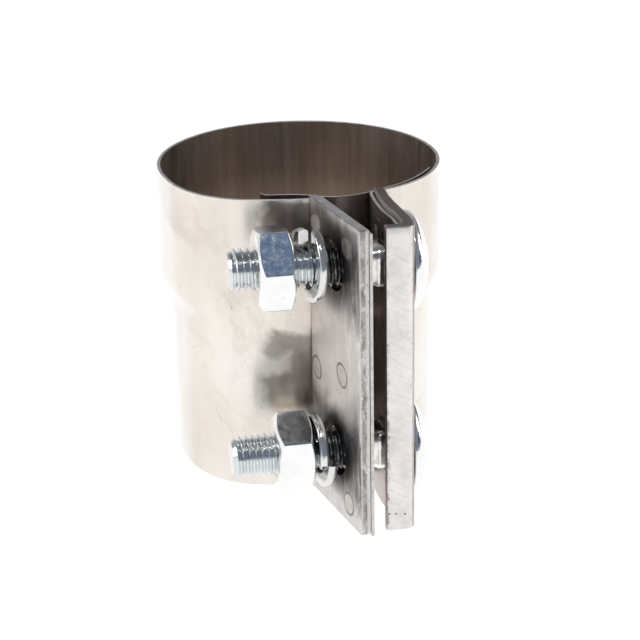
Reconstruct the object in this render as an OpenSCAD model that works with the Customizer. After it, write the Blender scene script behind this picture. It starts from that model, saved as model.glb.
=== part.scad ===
// Two-bolt stepped pipe band clamp (lap-joint type), shown open.
// Millimetres. Origin on the bore axis at the lower rim, +Z up towards the
// larger bore, +X along the bolts from their tips to their heads.
// Angles round the band are degrees from -Y, turning towards +X.

/* [Band] */
// Outer radius of the band above the step
upper_r = 34; // [33.5:0.1:36]
// Outer radius of the band below the step
lower_r = 31.4; // [31:0.1:32]
// Sheet thickness of the band and its ears
band_t = 0.8; // [0.7:0.05:0.9]
// Height of the band
band_h = 72.8; // [70:0.1:76]
// Height where the step starts
step_z0 = 39.5; // [36:0.5:41]
// Height where the step ends
step_z1 = 46.5; // [45:0.5:49]

/* [Seal strip] */
// Thickness of the inner strip that bridges the gap
strip_t = 0.35; // [0.2:0.05:0.35]
// Radial joggle of the band that makes room for the strip
joggle = 0.5; // [0.5:0.05:0.6]
// End of the strip on the left, degrees from -Y
strip_a0 = -26; // [-32:1:-20]
// End of the strip on the right, degrees from -Y
strip_a1 = 63; // [50:1:63]

/* [Bars] */
// Extra tilt of the flat bar while the clamp is open, degrees
flat_tilt = 12.2; // [12.1:0.1:12.3]
// Thickness of the flat bar
flat_t = 2.5; // [2.3:0.1:2.5]
// Thickness of the angle bar leg
leg_t = 2.95; // [2.6:0.05:2.95]
// Thickness of the angle bar lip
lip_t = 2.9; // [2.5:0.1:3]
// Outer corner radius of the angle bar
corner_r = 2; // [1.5:0.1:2]
// Bottom of both bars above the lower rim
bar_z0 = 0.65; // [0.4:0.05:1]
// Top of both bars
bar_z1 = 73.8; // [73:0.1:75]

/* [Bolts] */
// Height of the lower bolt
lower_bolt_z = 16; // [15:0.1:18]
// Height of the upper bolt
upper_bolt_z = 61.4; // [59:0.1:61.6]
// Major diameter of the M10 thread
thread_d = 9.86; // [9.8:0.01:9.9]
// Length under the head
bolt_len = 40; // [38:1:42]
// Head diameter
head_d = 23.4; // [22:0.1:23.6]
// Head height
head_h = 5.2; // [4.5:0.1:5.6]
// Thread pitch
pitch = 1.5; // [1.5:0.25:1.75]
// Width across flats of the nuts
nut_flats = 17; // [16:1:17]
// Nut height
nut_h = 7.8; // [7:0.2:8.4]
// Lock washer outer diameter
washer_d = 17.2; // [16:0.1:17.4]
// Lock washer thickness
washer_t = 2.4; // [2:0.1:2.6]

/* [Hidden] */
$fn = 96;
band_fn = 180;

BAND_COLOR = [0.80, 0.77, 0.74];
BOLT_COLOR = [0.74, 0.76, 0.79];
WELD_COLOR = [0.45, 0.42, 0.40];

// Band, in degrees from -Y
gap_mid = 10.7;
back_line = gap_mid + 180;      // flexing line at the back
ear_line = -12;                 // flexing line beside the left ear
back_gap = 0.2;                 // gap at the back line
ear_gap = 0.4;                  // gap at the line beside the ear
joggle_margin = 3;              // joggle runs on past each strip end
joggle_slit = 0.02;             // slit between plain and joggled wall
right_start = 21.4;             // start of the right half's wall
left_end = -0.2;                // end of the wall at the left ear

// Bars
face_gap = 0.05;                // gap between a bar and its ear
leg_right = 15.2;               // right face of the leg
leg_left = leg_right - leg_t;
lip_tip = 9.13;                 // x of the lip's free end
lip_outer = -57.7;              // outer face of the lip
leg_end_right = -31.3;          // inner end of the leg, right corner
leg_end_left = -32.6;           // inner end of the leg, left corner
ear_right = leg_left - face_gap; // right face of the right ear
flat_origin = [-2.9, -31.5];    // start of the line of the flat bar's left face
flat_inner = 3.9;               // inner end of the flat bar along that line
flat_outer = 28;                // outer end of the flat bar along that line

// Bolts
bolt_y = -43.7;
bolt_heights = [lower_bolt_z, upper_bolt_z];
head_x = 16.35;                 // underside of the heads
head_r = head_d/2;
slot_d = 11.6;                  // width of the slots for the bolts
slot_shift = 1.3;               // slot end centres to either side of the bolt axis
neck = 10;                      // side of the square neck
thread_root_r = 4.2;
thread_count = 20;
eps = 0.01;                     // small overlap

// Spot welds and their slightly larger pockets
weld_r = 2.5;
strip_weld_r = 1.5;
weld_gap = 0.02;
pocket_r = weld_r + weld_gap;
strip_pocket_r = strip_weld_r + weld_gap;
strip_weld_angle = 30;
STRIP_WELDS = [8, 24, 33, 52, 67];  // heights
// [distance outward along the flat bar, height]
FLAT_WELDS = [[21.9, 67.9], [18, 36.4], [21.1, 5.6], [7, 32.9], [6.8, 68.8], [6.8, 5.4]];
// [y, height]
LEG_WELDS = [[-37.5, 38.9], [-51, 38.9], [-37.2, 69.9], [-51.3, 70.1], [-37.5, 6.5], [-51, 6.5]];

// ---- Frames and shared shapes ----

// turns +Z to +X
module along_x(place) translate(place) rotate([0, 90, 0]) children();

// bolt frame: +Z runs from the head to the tip, origin at x on the bolt axis
module bolt_frame(x, z) translate([x, bolt_y, z]) rotate([0, -90, 0]) children();

// flat bar frame: left face at x = 0, outward along -Y
module flat_frame()
  translate([flat_origin[0], flat_origin[1], 0]) rotate([0, 0, flat_tilt]) children();

// wall cross section, its outer face inset from that of the plain band
module wall_profile(inset, thick, z0, z1) {
  low = lower_r - inset;
  high = upper_r - inset;
  polygon([[low - thick, z0], [low, z0], [low, step_z0],
    [high, step_z1], [high, z1], [high - thick, z1],
    [high - thick, step_z1], [low - thick, step_z0]]);
}

// sector of the wall between two angles
module sector(from, to, inset, thick = band_t, z0 = 0, z1 = band_h)
  rotate([0, 0, from - 90])
    rotate_extrude(angle = to - from, $fn = band_fn)
      wall_profile(inset, thick, z0, z1);

// solid out to the middle of the joggled wall; trims the inner ends of the ears
module trim_bore() {
  low = lower_r - band_t/2 + joggle;
  high = upper_r - band_t/2 + joggle;
  rotate_extrude($fn = band_fn)
    polygon([[0, -1], [low, -1], [low, step_z0],
      [high, step_z1], [high, band_h + 1], [0, band_h + 1]]);
}

// cutters along X for both bolts, elongated along Y
module bolt_slots() {
  length = 70;
  for (z = bolt_heights) along_x([-30, bolt_y, z]) union() {
    for (y = [-slot_shift, slot_shift]) translate([0, y, 0]) cylinder(d = slot_d, h = length);
    translate([-slot_d/2, -slot_shift, 0]) cube([slot_d, 2*slot_shift, length]);
  }
}

// Discs at the welds, for welds and pockets alike. x is their left face;
// inset is how far they start inside the outer face of the joggled band.
module flat_discs(x, radius, length)
  flat_frame() for (w = FLAT_WELDS) along_x([x, -w[0], w[1]]) cylinder(r = radius, h = length);

module leg_discs(x, radius, length)
  for (w = LEG_WELDS) along_x([x, w[0], w[1]]) cylinder(r = radius, h = length);

module strip_discs(inset, radius, length)
  for (z = STRIP_WELDS) {
    wall_r = z > (step_z0 + step_z1)/2 ? upper_r : lower_r;
    rotate([0, 0, strip_weld_angle - 90])
      along_x([wall_r + joggle - inset, 0, z]) cylinder(r = radius, h = length);
  }

// ---- Band and strip ----

// plain wall, joggled wall and the flat right ear
module band_right_half() color(BAND_COLOR) difference() {
  joggle_end = strip_a1 + joggle_margin;
  union() {
    sector(joggle_end, back_line - back_gap, inset = 0);
    sector(right_start, joggle_end - joggle_slit, inset = -joggle);
    difference() {
      translate([ear_right - band_t, -53.9, 0]) cube([band_t, 26, band_h]);
      trim_bore();
    }
  }
  for (z = bolt_heights) along_x([0, bolt_y, z]) cylinder(d = 15.2, h = 20);
  leg_discs(x = ear_right - 0.3, radius = pocket_r, length = 2);
  strip_discs(inset = band_t + 1, radius = strip_pocket_r, length = 1.4);
}

module band_left_half() color(BAND_COLOR) union() {
  joggle_start = strip_a0 + 360 - joggle_margin;
  sector(back_line, joggle_start - joggle_slit, inset = 0);
  sector(joggle_start, ear_line + 360 - ear_gap, inset = -joggle);
}

// short joggled wall with the tilted left ear
module band_left_ear() color(BAND_COLOR) difference() {
  inner_reach = 1.2;
  union() {
    sector(ear_line, left_end, inset = -joggle);
    difference() {
      flat_frame() translate([flat_t + face_gap, -flat_outer, 0])
        cube([band_t, flat_outer + inner_reach, band_h]);
      trim_bore();
    }
  }
  bolt_slots();
  flat_discs(x = flat_t - 1, radius = pocket_r, length = 1.35);
}

module seal_strip() color([0.42, 0.38, 0.35]) difference() {
  wall_gap = 0.02;
  sector(strip_a0, strip_a1, inset = band_t + wall_gap - joggle, thick = strip_t,
    z0 = 0.4, z1 = band_h - 0.2);
  strip_discs(inset = band_t + 0.2, radius = strip_pocket_r, length = 1);
}

// ---- Bars ----

module flat_bar() color([0.62, 0.60, 0.58]) difference() {
  flat_frame() translate([0, -flat_outer, bar_z0])
    cube([flat_t, flat_outer - flat_inner, bar_z1 - bar_z0]);
  bolt_slots();
  flat_discs(x = flat_t - 0.4, radius = pocket_r, length = 1.35);
}

// cutter that rounds the outer corner between leg and lip
module corner_cutter()
  translate([leg_right - corner_r, lip_outer + corner_r, bar_z0 - 1]) difference() {
    translate([0, -corner_r - 1, 0]) cube([corner_r + 1, corner_r + 1, 90]);
    translate([0, 0, -1]) cylinder(r = corner_r, h = 92);
  }

// leg, and a lip turned to the left at its outer end
module angle_bar() color([0.60, 0.57, 0.55]) difference() {
  hole_y = 10.7;
  hole_z = 10.6;
  lip_inner = lip_outer + lip_t;
  translate([0, 0, bar_z0]) linear_extrude(bar_z1 - bar_z0)
    polygon([[leg_left, leg_end_left], [leg_right, leg_end_right], [leg_right, lip_outer],
      [lip_tip, lip_outer], [lip_tip, lip_inner], [leg_left, lip_inner]]);
  corner_cutter();
  for (z = bolt_heights)
    translate([0, bolt_y - hole_y/2, z - hole_z/2]) cube([30, hole_y, hole_z]);
  leg_discs(x = leg_left - 1, radius = pocket_r, length = 1.4);
}

// ---- Bolts, nuts and washers ----

// domed head, [radius, height] from the crown to the underside
module bolt_head() {
  crown_r = 3;
  rim = 0.35;
  rotate_extrude() polygon(concat(
    [[0, -head_h], [crown_r, -head_h + 0.12]],
    [for (i = [1:7]) let (x = crown_r + (head_r - crown_r)*i/8)
      [x, -head_h*sqrt(1 - pow(x/(head_r + 0.25), 2))]],
    [[head_r, -0.9], [head_r, -rim], [head_r - rim, 0], [0, 0]]));
}

// ring-cut thread with a tapered tip
module bolt_thread() {
  root = thread_root_r;
  crest = thread_d/2;
  tip_z = 38.8;
  rotate_extrude() polygon(concat(
    [[0, 8], [root, 8], [root, 8.4]],
    [for (i = [0:thread_count - 1]) let (z = 8.6 + i*pitch)
      each [[root, z], [crest, z + 0.62], [crest, z + 0.84], [root, z + 1.42]]],
    [[root, tip_z], [4.75, tip_z], [4.0, bolt_len], [0, bolt_len]]));
}

// M10 carriage bolt at height z
module carriage_bolt(z) color(BOLT_COLOR) bolt_frame(head_x, z) {
  bolt_head();
  translate([-neck/2, -neck/2, -eps]) cube([neck, neck, 5.5]);
  translate([0, 0, 5]) cylinder(d = 8.9, h = 3.5);
  bolt_thread();
}
module upper_carriage_bolt() carriage_bolt(upper_bolt_z);
module lower_carriage_bolt() carriage_bolt(lower_bolt_z);

// hex nut with chamfered faces; x = its right face, turn = degrees about the bolt
module hex_nut(x, z, turn) color(BOLT_COLOR) bolt_frame(x, z) difference() {
  face_r = nut_flats/2 - 0.25;
  outer_r = nut_flats/2 + 1.6;
  chamfer_h = 1.05;
  mouth_r = 5.5;
  mouth_inner_r = 4.9;
  mouth_h = 0.6;
  intersection() {
    rotate([0, 0, turn]) cylinder(d = nut_flats/cos(30), h = nut_h, $fn = 6);
    rotate_extrude() polygon([[0, 0], [face_r, 0], [outer_r, chamfer_h],
      [outer_r, nut_h - chamfer_h], [face_r, nut_h], [0, nut_h]]);
  }
  translate([0, 0, -1]) cylinder(r = thread_d/2 + 0.05, h = nut_h + 2);
  translate([0, 0, -eps]) cylinder(r1 = mouth_r, r2 = mouth_inner_r, h = mouth_h);
  translate([0, 0, nut_h - mouth_h + eps])
    cylinder(r1 = mouth_inner_r, r2 = mouth_r, h = mouth_h);
}
module upper_nut() hex_nut(x = -9.15, z = upper_bolt_z, turn = -20.5);
module lower_nut() hex_nut(x = -6, z = lower_bolt_z, turn = 5);

// split lock washer; x = its right face, turn = degrees of the split about the bolt
module lock_washer(x, z, turn) color([0.72, 0.74, 0.77]) bolt_frame(x, z) difference() {
  hole_r = 5.05;
  split_w = 0.9;
  rotate_extrude() translate([hole_r, 0]) square([washer_d/2 - hole_r, washer_t]);
  rotate([0, 0, turn]) translate([4, -0.35, -1]) rotate([25, 0, 0])
    translate([0, -split_w/2, -2]) cube([8, split_w, 8]);
}
module upper_lock_washer() lock_washer(x = -4.05, z = upper_bolt_z, turn = -6);
module lower_lock_washer() lock_washer(x = -3.35, z = lower_bolt_z, turn = -104);

// ---- Spot welds ----

module flat_bar_spot_welds() color(WELD_COLOR)
  flat_discs(x = flat_t - 0.38, radius = weld_r, length = 0.7);
module angle_bar_spot_welds() color(WELD_COLOR)
  leg_discs(x = ear_right - 0.28, radius = weld_r, length = 0.68);
module seal_strip_spot_welds() color(WELD_COLOR)
  strip_discs(inset = band_t + 0.18, radius = strip_weld_r, length = 0.5);

band_right_half();
band_left_half();
band_left_ear();
seal_strip();
flat_bar();
angle_bar();
upper_carriage_bolt();
lower_carriage_bolt();
upper_nut();
lower_nut();
upper_lock_washer();
lower_lock_washer();
flat_bar_spot_welds();
angle_bar_spot_welds();
seal_strip_spot_welds();
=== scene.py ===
"""Sheet steel band clamp with two clamp bars and two carriage bolts.

The bore runs along Z with its bottom at z = 0. The band opens at the front (-Y), where its
two ears stick out: the left ear carries a flat bar, the right ear an angle bar. The bolts run
along X, with their heads on the right (+X) and their nuts on the left. Lengths are in
millimetres unless said otherwise; shader distances are in metres.
"""
import math

import bmesh
import bpy
import numpy as np
from mathutils import Matrix, Vector


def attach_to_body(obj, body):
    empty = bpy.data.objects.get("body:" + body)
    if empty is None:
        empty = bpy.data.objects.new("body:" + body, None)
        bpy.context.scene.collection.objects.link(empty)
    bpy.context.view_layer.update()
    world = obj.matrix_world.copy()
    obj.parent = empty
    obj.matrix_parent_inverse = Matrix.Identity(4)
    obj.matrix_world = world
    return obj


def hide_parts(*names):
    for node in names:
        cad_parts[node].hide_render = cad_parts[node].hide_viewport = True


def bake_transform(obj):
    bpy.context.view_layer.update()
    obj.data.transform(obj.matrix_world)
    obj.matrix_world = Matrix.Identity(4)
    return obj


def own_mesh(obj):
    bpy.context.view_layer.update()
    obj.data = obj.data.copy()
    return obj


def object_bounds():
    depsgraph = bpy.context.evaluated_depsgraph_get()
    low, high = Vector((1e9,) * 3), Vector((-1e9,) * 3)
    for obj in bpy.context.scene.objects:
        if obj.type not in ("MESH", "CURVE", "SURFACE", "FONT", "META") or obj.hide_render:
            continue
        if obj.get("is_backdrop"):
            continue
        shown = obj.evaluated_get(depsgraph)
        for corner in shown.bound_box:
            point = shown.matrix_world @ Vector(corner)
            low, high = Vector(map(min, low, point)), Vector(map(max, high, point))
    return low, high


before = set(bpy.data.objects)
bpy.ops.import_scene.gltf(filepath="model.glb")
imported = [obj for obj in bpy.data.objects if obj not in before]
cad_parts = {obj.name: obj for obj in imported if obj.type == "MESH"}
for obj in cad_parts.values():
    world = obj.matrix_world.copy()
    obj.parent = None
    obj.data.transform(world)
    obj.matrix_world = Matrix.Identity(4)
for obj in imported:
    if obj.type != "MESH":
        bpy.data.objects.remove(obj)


def as_list(value):
    if value is None or isinstance(value, (int, float)):
        return value
    return [as_list(item) for item in value]


bounds_cad = as_list(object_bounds())

scene = bpy.context.scene
scene.view_settings.view_transform = "Standard"
scene.view_settings.look = "None"

MM = 0.001
BAND_HEIGHT = 72.8
BAND_THICK = 0.75
STRIP_THICK = 0.52
BAR_BOTTOM = 0.65
BOLT_Y = -43.7
UPPER_Z = 61.4
LOWER_Z = 16.0
FLAT_TURN = math.radians(12.2)      # turn of the flat bar and its ear about Z
FLAT_ORIGIN = (-2.9, -31.5)         # x, y of the flat bar's inner left corner
FLAT_LENGTH = 28.0                  # from that corner to the bar's and the ear's front end
FLAT_PLACE = (Matrix.Translation((FLAT_ORIGIN[0] * MM, FLAT_ORIGIN[1] * MM, 0))
              @ Matrix.Rotation(FLAT_TURN, 4, "Z"))
SHEET_SHARP = 28                    # degrees above which an edge is shaded sharp
BAR_SHARP = 26


# ------------------------------------------------------------------ helpers
def smooth_step(t):
    t = np.clip(t, 0.0, 1.0)
    return t * t * (3 - 2 * t)


def shade(mesh, sharp):
    mesh.polygons.foreach_set("use_smooth", [True] * len(mesh.polygons))
    mesh.update()
    mesh.set_sharp_from_angle(angle=math.radians(sharp))


def make(name, verts, faces, materials=(), face_materials=None, sharp=30.0, matrix=None):
    """Mesh object from vertices in millimetres."""
    mesh = bpy.data.meshes.new(name)
    points = (np.asarray(verts, float) * MM).tolist()
    mesh.from_pydata(points, [], [tuple(int(i) for i in face) for face in faces])
    for material in materials:
        mesh.materials.append(material)
    if face_materials is not None:
        mesh.polygons.foreach_set("material_index", np.asarray(face_materials, np.int32))
    edit = bmesh.new()
    edit.from_mesh(mesh)
    bmesh.ops.recalc_face_normals(edit, faces=edit.faces)
    edit.to_mesh(mesh)
    edit.free()
    shade(mesh, sharp)
    ob = bpy.data.objects.new(name, mesh)
    scene.collection.objects.link(ob)
    if matrix is not None:
        ob.matrix_world = matrix
    return ob


def attach(ob, body, cad_piece):
    """Ties an object to the body it moves with and hides the CAD piece it replaces."""
    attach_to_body(ob, body)
    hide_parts(cad_piece)


def wave(across, along, seed, terms=7):
    """Sum of a few fixed sine waves, a smooth random surface of about unit size."""
    rng = np.random.RandomState(seed)
    total = np.zeros(np.broadcast(across, along).shape)
    for _ in range(terms):
        rate_a, rate_b = rng.uniform(0.5, 2.0, 2) * rng.choice([-1, 1], 2)
        phase = rng.uniform(0, 6.28)
        total = total + np.sin(across * rate_a + along * rate_b + phase) * rng.uniform(0.5, 1)
    return total / terms * 1.6


def cut(ob, cutters, sharp):
    """Exact boolean cut, applied; the cutters are removed."""
    for cutter in cutters:
        modifier = ob.modifiers.new("cut", "BOOLEAN")
        modifier.operation = "DIFFERENCE"
        modifier.solver = "EXACT"
        modifier.object = cutter
    bpy.context.view_layer.update()
    graph = bpy.context.evaluated_depsgraph_get()
    mesh = bpy.data.meshes.new_from_object(ob.evaluated_get(graph), depsgraph=graph)
    ob.modifiers.clear()
    old = ob.data
    ob.data = mesh
    bpy.data.meshes.remove(old)
    for cutter in cutters:
        bpy.data.objects.remove(cutter)
    shade(mesh, sharp)


def curve_through(table, at):
    """Smooth curve through (position, value) rows, with Catmull-Rom style tangents."""
    x, y = np.array(table, float).T
    at = np.asarray(at, float)
    slope = np.diff(y) / np.diff(x)
    tangent = np.concatenate([[slope[0]], (slope[:-1] + slope[1:]) / 2, [slope[-1]]])
    k = np.clip(np.searchsorted(x, at) - 1, 0, len(x) - 2)
    span = x[k + 1] - x[k]
    t = np.clip((at - x[k]) / span, 0, 1)
    return ((2 * t**3 - 3 * t**2 + 1) * y[k] + (t**3 - 2 * t**2 + t) * span * tangent[k]
            + (-2 * t**3 + 3 * t**2) * y[k + 1] + (t**3 - t**2) * span * tangent[k + 1])


# ---------------------------------------------------------------- shaders
class Shader:
    """Short calls that build one node tree; most return an output socket."""

    def __init__(self, owner, surface="ShaderNodeBsdfPrincipled",
                 output="ShaderNodeOutputMaterial"):
        owner.use_nodes = True
        self.owner = owner
        self.tree = owner.node_tree
        self.tree.nodes.clear()
        out = self.node(output)
        self.surface = self.node(surface)
        self.feed(out.inputs[0], self.surface.outputs[0])

    def node(self, kind, **settings):
        node = self.tree.nodes.new(kind)
        for key, value in settings.items():
            setattr(node, key, value)
        return node

    def feed(self, socket, value):
        """Links a socket, or sets a number or an RGB colour."""
        if isinstance(value, bpy.types.NodeSocket):
            self.tree.links.new(value, socket)
        elif isinstance(value, tuple):
            socket.default_value = (*value, 1)
        else:
            socket.default_value = value

    def noise(self, scale, stretch=(1, 1, 1), detail=4, rough=0.6, distort=0, turn=None):
        """Noise over object space; with a turn (radians) the stretch follows the turned axes."""
        coords = self.node("ShaderNodeTexCoord")
        if turn is None:
            mapping = self.node("ShaderNodeMapping", vector_type="POINT")
            mapping.inputs["Scale"].default_value = stretch
        else:
            mapping = self.node("ShaderNodeMapping", vector_type="TEXTURE")
            mapping.inputs["Scale"].default_value = tuple(1 / v for v in stretch)
            mapping.inputs["Rotation"].default_value = turn
        self.feed(mapping.inputs["Vector"], coords.outputs["Object"])
        noise = self.node("ShaderNodeTexNoise")
        noise.inputs["Scale"].default_value = scale
        noise.inputs["Detail"].default_value = detail
        noise.inputs["Roughness"].default_value = rough
        noise.inputs["Distortion"].default_value = distort
        self.feed(noise.inputs["Vector"], mapping.outputs[0])
        return noise.outputs["Fac"]

    def axes(self, space="Object"):
        coords = self.node("ShaderNodeTexCoord")
        split = self.node("ShaderNodeSeparateXYZ")
        self.feed(split.inputs[0], coords.outputs[space])
        return split.outputs

    def axis(self, letter):
        return self.axes()[letter]

    def distance(self, position, centre):
        """Distance of a position socket from a centre given in millimetres."""
        node = self.node("ShaderNodeVectorMath", operation="DISTANCE")
        self.feed(node.inputs[0], position)
        node.inputs[1].default_value = tuple(v * MM for v in centre)
        return node.outputs["Value"]

    def ramp(self, value, stops):
        """Colour ramp from (position, colour) stops."""
        node = self.node("ShaderNodeValToRGB")
        elements = node.color_ramp.elements
        while len(elements) < len(stops):
            elements.new(0.5)
        for element, (position, color) in zip(elements, stops):
            element.position = position
            element.color = (*color, 1)
        self.feed(node.inputs[0], value)
        return node.outputs[0]

    def mix(self, amount, first, second):
        node = self.node("ShaderNodeMix", data_type="RGBA", blend_type="MIX")
        self.feed(node.inputs[0], amount)
        self.feed(node.inputs[6], first)
        self.feed(node.inputs[7], second)
        return node.outputs[2]

    def remap(self, value, to, over=(0.3, 0.7)):
        """Maps the range `over` of a value onto the range `to`."""
        node = self.node("ShaderNodeMapRange")
        for index, number in enumerate((*over, *to), 1):
            node.inputs[index].default_value = number
        self.feed(node.inputs[0], value)
        return node.outputs[0]

    def stain(self, color, value, tint, to, over=(0.3, 0.7)):
        """Mixes in a tint, by the amount `to` as the value crosses `over`."""
        return self.mix(self.remap(value, to, over), color, tint)

    def math(self, operation, first, second):
        node = self.node("ShaderNodeMath", operation=operation)
        self.feed(node.inputs[0], first)
        self.feed(node.inputs[1], second)
        return node.outputs[0]

    def window(self, value, rise, fall):
        """0 to 1 across `rise` and back to 0 across `fall`."""
        rising = self.remap(value, to=(0, 1), over=rise)
        falling = self.remap(value, to=(1, 0), over=fall)
        return self.math("MULTIPLY", rising, falling)

    def bump(self, height, distance, strength):
        """Adds a bump on top of any earlier one."""
        node = self.node("ShaderNodeBump")
        node.inputs["Strength"].default_value = strength
        node.inputs["Distance"].default_value = distance
        self.feed(node.inputs["Height"], height)
        normal = self.surface.inputs["Normal"]
        if normal.is_linked:
            self.feed(node.inputs["Normal"], normal.links[0].from_socket)
        self.feed(normal, node.outputs[0])

    def finish(self, color, roughness, metallic=1.0):
        self.feed(self.surface.inputs["Base Color"], color)
        self.feed(self.surface.inputs["Metallic"], metallic)
        self.feed(self.surface.inputs["Roughness"], roughness)


def metal(name):
    return Shader(bpy.data.materials.new(name))


# -------------------------------------------------------------- materials
def painted_reflection_patches(s):
    """Painted reflection of the nuts and washers: uneven dark patches on the front of the band,
    round the root of the left ear.
    """
    jag = s.noise(scale=150, detail=2, rough=0.5)
    shift = s.remap(jag, to=(-0.0022, 0.0022), over=(0.25, 0.75))
    x = s.math("ADD", s.axis("X"), shift)
    z = s.math("ADD", s.axis("Z"), shift)
    y = s.axis("Y")
    right_end = (0.003, 0.004)
    upper = s.math("MULTIPLY", s.window(x, rise=(-0.0150, -0.0125), fall=right_end),
                   s.window(z, rise=(0.0555, 0.0625), fall=(0.0712, 0.0725)))
    lower = s.math("MULTIPLY", s.window(x, rise=(-0.0150, -0.0128), fall=right_end),
                   s.math("MAXIMUM", s.window(z, rise=(0.0325, 0.0350), fall=(0.0385, 0.0405)),
                          s.window(z, rise=(0.0190, 0.0215), fall=(0.0280, 0.0300))))
    narrow = s.math("MULTIPLY", s.window(x, rise=(-0.0095, -0.0075), fall=right_end),
                    s.window(z, rise=(0.0190, 0.0225), fall=(0.0380, 0.0396)))
    lower_strength = 0.80
    lower = s.math("MULTIPLY", s.math("MAXIMUM", lower, narrow), lower_strength)
    front_only = s.remap(y, to=(1, 0), over=(-0.026, -0.018))
    patches = s.math("MULTIPLY", s.math("MAXIMUM", upper, lower), front_only)
    return s.math("MULTIPLY", patches, s.remap(jag, to=(0.95, 0.55)))


def band_outside():
    s = metal("band_outside_steel")
    color = s.ramp(s.noise(scale=45, stretch=(1, 1, 0.5), detail=3, rough=0.5),
                   [(0.32, (0.82, 0.755, 0.69)), (0.50, (0.92, 0.86, 0.795)),
                    (0.68, (0.97, 0.925, 0.875))])
    streaks = s.noise(scale=260, stretch=(1, 1, 0.08), detail=5)
    color = s.stain(color, streaks, to=(0, 0.10), tint=(0.62, 0.55, 0.50))
    # painted reflection of the nuts and washers: dark patches round the left ear's root
    color = s.mix(painted_reflection_patches(s), color, (0.22, 0.175, 0.15))
    rubbed = s.noise(scale=42, detail=7, rough=0.72, distort=0.6)
    color = s.stain(color, rubbed, to=(0, 0.42), over=(0.50, 0.70), tint=(0.50, 0.42, 0.355))
    hairlines = s.noise(scale=620, stretch=(0.10, 1, 1.3), detail=3,
                        turn=(0, math.radians(62), 0))
    color = s.stain(color, hairlines, to=(0, 0.30), over=(0.62, 0.76), tint=(0.55, 0.48, 0.43))
    dots = s.noise(scale=760, detail=2, rough=0.5)
    color = s.stain(color, dots, to=(0, 0.55), over=(0.715, 0.77), tint=(0.30, 0.25, 0.22))
    # painted reflection of the pale surroundings: paler where the surface turns away from the eye
    view = s.node("ShaderNodeLayerWeight")
    view.inputs["Blend"].default_value = 0.5
    color = s.stain(color, view.outputs["Facing"], to=(0, 0.9), over=(0.62, 0.93),
                    tint=(1.0, 0.985, 0.97))
    s.finish(color, s.remap(s.noise(scale=70, stretch=(1, 1, 0.35)), to=(0.27, 0.38)))
    s.bump(s.noise(scale=900, stretch=(1, 1, 0.10)), distance=0.00004, strength=0.35)
    s.bump(s.noise(scale=60, stretch=(1, 1, 0.6), detail=2, rough=0.5),
           distance=0.0010, strength=0.10)
    return s.owner


def band_inside():
    s = metal("band_inside_steel")
    streaks = s.noise(scale=560, stretch=(1, 1, 0.05), detail=6, rough=0.65)
    color = s.ramp(s.noise(scale=50, stretch=(1, 1, 0.7), detail=3, rough=0.5),
                   [(0.3, (0.35, 0.293, 0.258)), (0.7, (0.50, 0.418, 0.362))])
    color = s.stain(color, streaks, to=(0, 0.42), over=(0.40, 0.66), tint=(0.17, 0.14, 0.125))
    # painted reflection: brighter towards the bottom
    low = s.remap(s.axis("Z"), to=(1, 0), over=(0.034, 0.060))
    low_strength = 0.72
    color = s.mix(s.math("MULTIPLY", low, low_strength), color, (0.96, 0.82, 0.70))
    s.finish(color, s.remap(s.noise(scale=90, stretch=(1, 1, 0.2)), to=(0.33, 0.48)))
    s.bump(streaks, distance=0.00008, strength=0.4)
    return s.owner


def plain_steel(name, grain, stops, roughness, bump, strength=0.4, metallic=1.0):
    """One noise drives colour and bump, and roughness too where it is a (low, high) pair."""
    s = metal(name)
    value = s.noise(**grain)
    if isinstance(roughness, tuple):
        roughness = s.remap(value, to=roughness)
    s.finish(s.ramp(value, stops), roughness, metallic)
    s.bump(value, distance=bump, strength=strength)
    return s.owner


def mill_scale(s, dark_red, middle_red):
    """Mottled scale with slanting scratches: colour, large noise and mottle noise."""
    big = s.noise(scale=95, stretch=(1, 1, 0.6), detail=5, distort=0.4)
    color = s.ramp(big, [(0.25, (dark_red, 0.335, 0.32)), (0.48, (middle_red, 0.47, 0.45)),
                         (0.75, (0.62, 0.59, 0.57))])
    mottle = s.noise(scale=420, stretch=(1, 1, 0.8), detail=6, rough=0.7, distort=0.2)
    color = s.stain(color, mottle, to=(0, 0.42), over=(0.50, 0.72), tint=(0.26, 0.235, 0.22))
    scratches = s.noise(scale=260, stretch=(1, 0.06, 2.2), detail=3,
                        turn=(math.radians(32), 0, 0))
    color = s.stain(color, scratches, to=(0, 0.30), over=(0.58, 0.74), tint=(0.80, 0.77, 0.75))
    return color, big, mottle


def finish_mill_scale(s, color, big, mottle):
    s.finish(color, s.remap(mottle, to=(0.34, 0.55)))
    s.bump(mottle, distance=0.00012, strength=0.45)
    s.bump(big, distance=0.0008, strength=0.15)
    return s.owner


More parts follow.
